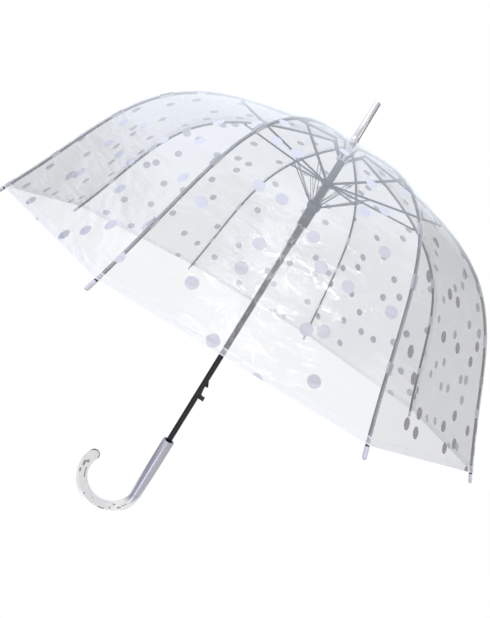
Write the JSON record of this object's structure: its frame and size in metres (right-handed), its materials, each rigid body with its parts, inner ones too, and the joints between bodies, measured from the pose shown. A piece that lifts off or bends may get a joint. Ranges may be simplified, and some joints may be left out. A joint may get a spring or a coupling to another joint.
{
  "type": "bubble umbrella",
  "caption": "Clear dome umbrella with a crook handle, folding ribs, stretchers and struts on two sliding runners, and a release button.",
  "frame": {"origin": "middle of the straight grip, on the shaft's axis, where a hand holds the umbrella", "axes": "+Z along the shaft to the ferrule; -X is the side that the crook bends to; +X is the release button's side; the ribs stand 22.5 degrees off the X axis and every 45 degrees from there"},
  "size_m": [0.7912, 0.7912, 0.8463],
  "materials": {
    "black_steel": "satin black paint",
    "film": "clear soft film with silver dots",
    "silver": "satin silver lacquer",
    "polished": "polished",
    "acrylic": "clear, polished",
    "dark_plastic": "satin",
    "pale_plastic": "satin, slightly translucent",
    "dark_steel": "blued",
    "spring_steel": "oiled wire"
  },
  "bodies": {
    "shaft_and_handle": {"shaft": "black_steel", "ferrule": "polished", "crown_washer": "pale_plastic", "crown_notch": "pale_plastic", "canopy": "film", "grip_sleeve": "silver", "crook": "acrylic"},
    "release": {"catch": "black_steel", "release_button": "dark_plastic"},
    "rib_1_upper": {"rib_1_upper": "black_steel"},
    "rib_1_middle": {"rib_1_middle": "black_steel"},
    "rib_1_lower": {"rib_1_lower": "black_steel", "rib_1_tip": "pale_plastic"},
    "stretcher_1": {"stretcher_1": "dark_steel"},
    "strut_1": {"strut_1": "dark_steel"},
    "rib_2_upper": {"rib_2_upper": "black_steel"},
    "rib_2_middle": {"rib_2_middle": "black_steel"},
    "rib_2_lower": {"rib_2_lower": "black_steel", "rib_2_tip": "pale_plastic"},
    "stretcher_2": {"stretcher_2": "dark_steel"},
    "strut_2": {"strut_2": "dark_steel"},
    "rib_3_upper": {"rib_3_upper": "black_steel"},
    "rib_3_middle": {"rib_3_middle": "black_steel"},
    "rib_3_lower": {"rib_3_lower": "black_steel", "rib_3_tip": "pale_plastic"},
    "stretcher_3": {"stretcher_3": "dark_steel"},
    "strut_3": {"strut_3": "dark_steel"},
    "rib_4_upper": {"rib_4_upper": "black_steel"},
    "rib_4_middle": {"rib_4_middle": "black_steel"},
    "rib_4_lower": {"rib_4_lower": "black_steel", "rib_4_tip": "pale_plastic"},
    "stretcher_4": {"stretcher_4": "dark_steel"},
    "strut_4": {"strut_4": "dark_steel"},
    "rib_5_upper": {"rib_5_upper": "black_steel"},
    "rib_5_middle": {"rib_5_middle": "black_steel"},
    "rib_5_lower": {"rib_5_lower": "black_steel", "rib_5_tip": "pale_plastic"},
    "stretcher_5": {"stretcher_5": "dark_steel"},
    "strut_5": {"strut_5": "dark_steel"},
    "rib_6_upper": {"rib_6_upper": "black_steel"},
    "rib_6_middle": {"rib_6_middle": "black_steel"},
    "rib_6_lower": {"rib_6_lower": "black_steel", "rib_6_tip": "pale_plastic"},
    "stretcher_6": {"stretcher_6": "dark_steel"},
    "strut_6": {"strut_6": "dark_steel"},
    "rib_7_upper": {"rib_7_upper": "black_steel"},
    "rib_7_middle": {"rib_7_middle": "black_steel"},
    "rib_7_lower": {"rib_7_lower": "black_steel", "rib_7_tip": "pale_plastic"},
    "stretcher_7": {"stretcher_7": "dark_steel"},
    "strut_7": {"strut_7": "dark_steel"},
    "rib_8_upper": {"rib_8_upper": "black_steel"},
    "rib_8_middle": {"rib_8_middle": "black_steel"},
    "rib_8_lower": {"rib_8_lower": "black_steel", "rib_8_tip": "pale_plastic"},
    "stretcher_8": {"stretcher_8": "dark_steel"},
    "strut_8": {"strut_8": "dark_steel"},
    "upper_runner": {"upper_runner": "dark_plastic", "main_spring": "spring_steel"},
    "lower_runner": {"lower_runner": "dark_plastic"}
  },
  "joints": [
    {"name": "canopy_fold", "type": "hinge", "parent": "shaft_and_handle", "child": "rib_1_upper", "pos_m": [0.00831, 0.00344, 0.6215], "axis": [-0.3827, 0.9239, 0], "range_deg": [0, 73], "stiffness_Nm_per_rad": 1.2, "springref_deg": -57.3, "deforming": ["canopy", "catch"]},
    {"name": "rib_1_flex_inner", "type": "hinge", "parent": "rib_1_upper", "child": "rib_1_middle", "pos_m": [0.23232, 0.09623, 0.57534], "axis": [-0.3827, 0.9239, 0], "range_deg": [-28.01, 1]},
    {"name": "rib_1_flex_outer", "type": "hinge", "parent": "rib_1_middle", "child": "rib_1_lower", "pos_m": [0.29413, 0.12183, 0.51337], "axis": [-0.3827, 0.9239, 0], "range_deg": [-16.33, 1]},
    {"name": "stretcher_1_hinge", "type": "hinge", "parent": "rib_1_upper", "child": "stretcher_1", "pos_m": [0.17731, 0.07344, 0.59815], "axis": [-0.3827, 0.9239, 0], "range_deg": [-147, 1]},
    {"name": "rib_2_hinge", "type": "hinge", "parent": "shaft_and_handle", "child": "rib_2_upper", "pos_m": [0.00344, 0.00831, 0.6215], "axis": [-0.9239, 0.3827, 0], "range_deg": [-1, 74]},
    {"name": "rib_2_flex_inner", "type": "hinge", "parent": "rib_2_upper", "child": "rib_2_middle", "pos_m": [0.09623, 0.23232, 0.57534], "axis": [-0.9239, 0.3827, 0], "range_deg": [-28.01, 1]},
    {"name": "rib_2_flex_outer", "type": "hinge", "parent": "rib_2_middle", "child": "rib_2_lower", "pos_m": [0.12183, 0.29413, 0.51337], "axis": [-0.9239, 0.3827, 0], "range_deg": [-16.33, 1]},
    {"name": "stretcher_2_hinge", "type": "hinge", "parent": "rib_2_upper", "child": "stretcher_2", "pos_m": [0.07344, 0.17731, 0.59815], "axis": [-0.9239, 0.3827, 0], "range_deg": [-147, 1]},
    {"name": "rib_3_hinge", "type": "hinge", "parent": "shaft_and_handle", "child": "rib_3_upper", "pos_m": [-0.00344, 0.00831, 0.6215], "axis": [-0.9239, -0.3827, 0], "range_deg": [-1, 74]},
    {"name": "rib_3_flex_inner", "type": "hinge", "parent": "rib_3_upper", "child": "rib_3_middle", "pos_m": [-0.09623, 0.23232, 0.57534], "axis": [-0.9239, -0.3827, 0], "range_deg": [-28.01, 1]},
    {"name": "rib_3_flex_outer", "type": "hinge", "parent": "rib_3_middle", "child": "rib_3_lower", "pos_m": [-0.12183, 0.29413, 0.51337], "axis": [-0.9239, -0.3827, 0], "range_deg": [-16.33, 1]},
    {"name": "stretcher_3_hinge", "type": "hinge", "parent": "rib_3_upper", "child": "stretcher_3", "pos_m": [-0.07344, 0.17731, 0.59815], "axis": [-0.9239, -0.3827, 0], "range_deg": [-147, 1]},
    {"name": "rib_4_hinge", "type": "hinge", "parent": "shaft_and_handle", "child": "rib_4_upper", "pos_m": [-0.00831, 0.00344, 0.6215], "axis": [-0.3827, -0.9239, 0], "range_deg": [-1, 74]},
    {"name": "rib_4_flex_inner", "type": "hinge", "parent": "rib_4_upper", "child": "rib_4_middle", "pos_m": [-0.23232, 0.09623, 0.57534], "axis": [-0.3827, -0.9239, 0], "range_deg": [-28.01, 1]},
    {"name": "rib_4_flex_outer", "type": "hinge", "parent": "rib_4_middle", "child": "rib_4_lower", "pos_m": [-0.29413, 0.12183, 0.51337], "axis": [-0.3827, -0.9239, 0], "range_deg": [-16.33, 1]},
    {"name": "stretcher_4_hinge", "type": "hinge", "parent": "rib_4_upper", "child": "stretcher_4", "pos_m": [-0.17731, 0.07344, 0.59815], "axis": [-0.3827, -0.9239, 0], "range_deg": [-147, 1]},
    {"name": "rib_5_hinge", "type": "hinge", "parent": "shaft_and_handle", "child": "rib_5_upper", "pos_m": [-0.00831, -0.00344, 0.6215], "axis": [0.3827, -0.9239, 0], "range_deg": [-1, 74]},
    {"name": "rib_5_flex_inner", "type": "hinge", "parent": "rib_5_upper", "child": "rib_5_middle", "pos_m": [-0.23232, -0.09623, 0.57534], "axis": [0.3827, -0.9239, 0], "range_deg": [-28.01, 1]},
    {"name": "rib_5_flex_outer", "type": "hinge", "parent": "rib_5_middle", "child": "rib_5_lower", "pos_m": [-0.29413, -0.12183, 0.51337], "axis": [0.3827, -0.9239, 0], "range_deg": [-16.33, 1]},
    {"name": "stretcher_5_hinge", "type": "hinge", "parent": "rib_5_upper", "child": "stretcher_5", "pos_m": [-0.17731, -0.07344, 0.59815], "axis": [0.3827, -0.9239, 0], "range_deg": [-147, 1]},
    {"name": "rib_6_hinge", "type": "hinge", "parent": "shaft_and_handle", "child": "rib_6_upper", "pos_m": [-0.00344, -0.00831, 0.6215], "axis": [0.9239, -0.3827, 0], "range_deg": [-1, 74]},
    {"name": "rib_6_flex_inner", "type": "hinge", "parent": "rib_6_upper", "child": "rib_6_middle", "pos_m": [-0.09623, -0.23232, 0.57534], "axis": [0.9239, -0.3827, 0], "range_deg": [-28.01, 1]},
    {"name": "rib_6_flex_outer", "type": "hinge", "parent": "rib_6_middle", "child": "rib_6_lower", "pos_m": [-0.12183, -0.29413, 0.51337], "axis": [0.9239, -0.3827, 0], "range_deg": [-16.33, 1]},
    {"name": "stretcher_6_hinge", "type": "hinge", "parent": "rib_6_upper", "child": "stretcher_6", "pos_m": [-0.07344, -0.17731, 0.59815], "axis": [0.9239, -0.3827, 0], "range_deg": [-147, 1]},
    {"name": "rib_7_hinge", "type": "hinge", "parent": "shaft_and_handle", "child": "rib_7_upper", "pos_m": [0.00344, -0.00831, 0.6215], "axis": [0.9239, 0.3827, 0], "range_deg": [-1, 74]},
    {"name": "rib_7_flex_inner", "type": "hinge", "parent": "rib_7_upper", "child": "rib_7_middle", "pos_m": [0.09623, -0.23232, 0.57534], "axis": [0.9239, 0.3827, 0], "range_deg": [-28.01, 1]},
    {"name": "rib_7_flex_outer", "type": "hinge", "parent": "rib_7_middle", "child": "rib_7_lower", "pos_m": [0.12183, -0.29413, 0.51337], "axis": [0.9239, 0.3827, 0], "range_deg": [-16.33, 1]},
    {"name": "stretcher_7_hinge", "type": "hinge", "parent": "rib_7_upper", "child": "stretcher_7", "pos_m": [0.07344, -0.17731, 0.59815], "axis": [0.9239, 0.3827, 0], "range_deg": [-147, 1]},
    {"name": "rib_8_hinge", "type": "hinge", "parent": "shaft_and_handle", "child": "rib_8_upper", "pos_m": [0.00831, -0.00344, 0.6215], "axis": [0.3827, 0.9239, 0], "range_deg": [-1, 74]},
    {"name": "rib_8_flex_inner", "type": "hinge", "parent": "rib_8_upper", "child": "rib_8_middle", "pos_m": [0.23232, -0.09623, 0.57534], "axis": [0.3827, 0.9239, 0], "range_deg": [-28.01, 1]},
    {"name": "rib_8_flex_outer", "type": "hinge", "parent": "rib_8_middle", "child": "rib_8_lower", "pos_m": [0.29413, -0.12183, 0.51337], "axis": [0.3827, 0.9239, 0], "range_deg": [-16.33, 1]},
    {"name": "stretcher_8_hinge", "type": "hinge", "parent": "rib_8_upper", "child": "stretcher_8", "pos_m": [0.17731, -0.07344, 0.59815], "axis": [0.3827, 0.9239, 0], "range_deg": [-147, 1]},
    {"name": "upper_runner_hinge", "type": "hinge", "parent": "stretcher_1", "child": "upper_runner", "pos_m": [0.00831, 0.00344, 0.5748], "axis": [-0.3827, 0.9239, 0], "range_deg": [-1, 74]},
    {"name": "lower_runner_slide", "type": "slide", "parent": "upper_runner", "child": "lower_runner", "axis": [0, 0, 1], "range_m": [-0.0005, 0.02632], "deforming": ["main_spring"]},
    {"name": "strut_1_hinge", "type": "hinge", "parent": "lower_runner", "child": "strut_1", "pos_m": [0.00942, 0.0039, 0.534], "axis": [-0.3827, 0.9239, 0], "range_deg": [-47.13, 1]},
    {"name": "strut_2_hinge", "type": "hinge", "parent": "lower_runner", "child": "strut_2", "pos_m": [0.0039, 0.00942, 0.534], "axis": [-0.9239, 0.3827, 0], "range_deg": [-47.13, 1]},
    {"name": "strut_3_hinge", "type": "hinge", "parent": "lower_runner", "child": "strut_3", "pos_m": [-0.0039, 0.00942, 0.534], "axis": [-0.9239, -0.3827, 0], "range_deg": [-47.13, 1]},
    {"name": "strut_4_hinge", "type": "hinge", "parent": "lower_runner", "child": "strut_4", "pos_m": [-0.00942, 0.0039, 0.534], "axis": [-0.3827, -0.9239, 0], "range_deg": [-47.13, 1]},
    {"name": "strut_5_hinge", "type": "hinge", "parent": "lower_runner", "child": "strut_5", "pos_m": [-0.00942, -0.0039, 0.534], "axis": [0.3827, -0.9239, 0], "range_deg": [-47.13, 1]},
    {"name": "strut_6_hinge", "type": "hinge", "parent": "lower_runner", "child": "strut_6", "pos_m": [-0.0039, -0.00942, 0.534], "axis": [0.9239, -0.3827, 0], "range_deg": [-47.13, 1]},
    {"name": "strut_7_hinge", "type": "hinge", "parent": "lower_runner", "child": "strut_7", "pos_m": [0.0039, -0.00942, 0.534], "axis": [0.9239, 0.3827, 0], "range_deg": [-47.13, 1]},
    {"name": "strut_8_hinge", "type": "hinge", "parent": "lower_runner", "child": "strut_8", "pos_m": [0.00942, -0.0039, 0.534], "axis": [0.3827, 0.9239, 0], "range_deg": [-47.13, 1]},
    {"name": "release_press", "type": "slide", "parent": "shaft_and_handle", "child": "release", "axis": [-1, 0, 0], "range_m": [0, 0.004], "stiffness_N_per_m": 150, "springref_m": -0.006}
  ],
  "couplings": [
    {"joint": "rib_1_flex_inner", "follows": "canopy_fold", "ratio": -0.37},
    {"joint": "rib_1_flex_outer", "follows": "canopy_fold", "ratio": -0.21},
    {"joint": "stretcher_1_hinge", "follows": "canopy_fold", "ratio": -2},
    {"joint": "rib_2_hinge", "follows": "canopy_fold", "ratio": 1},
    {"joint": "rib_2_flex_inner", "follows": "canopy_fold", "ratio": -0.37},
    {"joint": "rib_2_flex_outer", "follows": "canopy_fold", "ratio": -0.21},
    {"joint": "stretcher_2_hinge", "follows": "canopy_fold", "ratio": -2},
    {"joint": "rib_3_hinge", "follows": "canopy_fold", "ratio": 1},
    {"joint": "rib_3_flex_inner", "follows": "canopy_fold", "ratio": -0.37},
    {"joint": "rib_3_flex_outer", "follows": "canopy_fold", "ratio": -0.21},
    {"joint": "stretcher_3_hinge", "follows": "canopy_fold", "ratio": -2},
    {"joint": "rib_4_hinge", "follows": "canopy_fold", "ratio": 1},
    {"joint": "rib_4_flex_inner", "follows": "canopy_fold", "ratio": -0.37},
    {"joint": "rib_4_flex_outer", "follows": "canopy_fold", "ratio": -0.21},
    {"joint": "stretcher_4_hinge", "follows": "canopy_fold", "ratio": -2},
    {"joint": "rib_5_hinge", "follows": "canopy_fold", "ratio": 1},
    {"joint": "rib_5_flex_inner", "follows": "canopy_fold", "ratio": -0.37},
    {"joint": "rib_5_flex_outer", "follows": "canopy_fold", "ratio": -0.21},
    {"joint": "stretcher_5_hinge", "follows": "canopy_fold", "ratio": -2},
    {"joint": "rib_6_hinge", "follows": "canopy_fold", "ratio": 1},
    {"joint": "rib_6_flex_inner", "follows": "canopy_fold", "ratio": -0.37},
    {"joint": "rib_6_flex_outer", "follows": "canopy_fold", "ratio": -0.21},
    {"joint": "stretcher_6_hinge", "follows": "canopy_fold", "ratio": -2},
    {"joint": "rib_7_hinge", "follows": "canopy_fold", "ratio": 1},
    {"joint": "rib_7_flex_inner", "follows": "canopy_fold", "ratio": -0.37},
    {"joint": "rib_7_flex_outer", "follows": "canopy_fold", "ratio": -0.21},
    {"joint": "stretcher_7_hinge", "follows": "canopy_fold", "ratio": -2},
    {"joint": "rib_8_hinge", "follows": "canopy_fold", "ratio": 1},
    {"joint": "rib_8_flex_inner", "follows": "canopy_fold", "ratio": -0.37},
    {"joint": "rib_8_flex_outer", "follows": "canopy_fold", "ratio": -0.21},
    {"joint": "stretcher_8_hinge", "follows": "canopy_fold", "ratio": -2},
    {"joint": "upper_runner_hinge", "follows": "canopy_fold", "ratio": 1},
    {"joint": "lower_runner_slide", "follows": "canopy_fold", "m_per_rad": 0.020264},
    {"joint": "strut_1_hinge", "follows": "canopy_fold", "ratio": -0.63196},
    {"joint": "strut_2_hinge", "follows": "canopy_fold", "ratio": -0.63196},
    {"joint": "strut_3_hinge", "follows": "canopy_fold", "ratio": -0.63196},
    {"joint": "strut_4_hinge", "follows": "canopy_fold", "ratio": -0.63196},
    {"joint": "strut_5_hinge", "follows": "canopy_fold", "ratio": -0.63196},
    {"joint": "strut_6_hinge", "follows": "canopy_fold", "ratio": -0.63196},
    {"joint": "strut_7_hinge", "follows": "canopy_fold", "ratio": -0.63196},
    {"joint": "strut_8_hinge", "follows": "canopy_fold", "ratio": -0.63196}
  ]
}
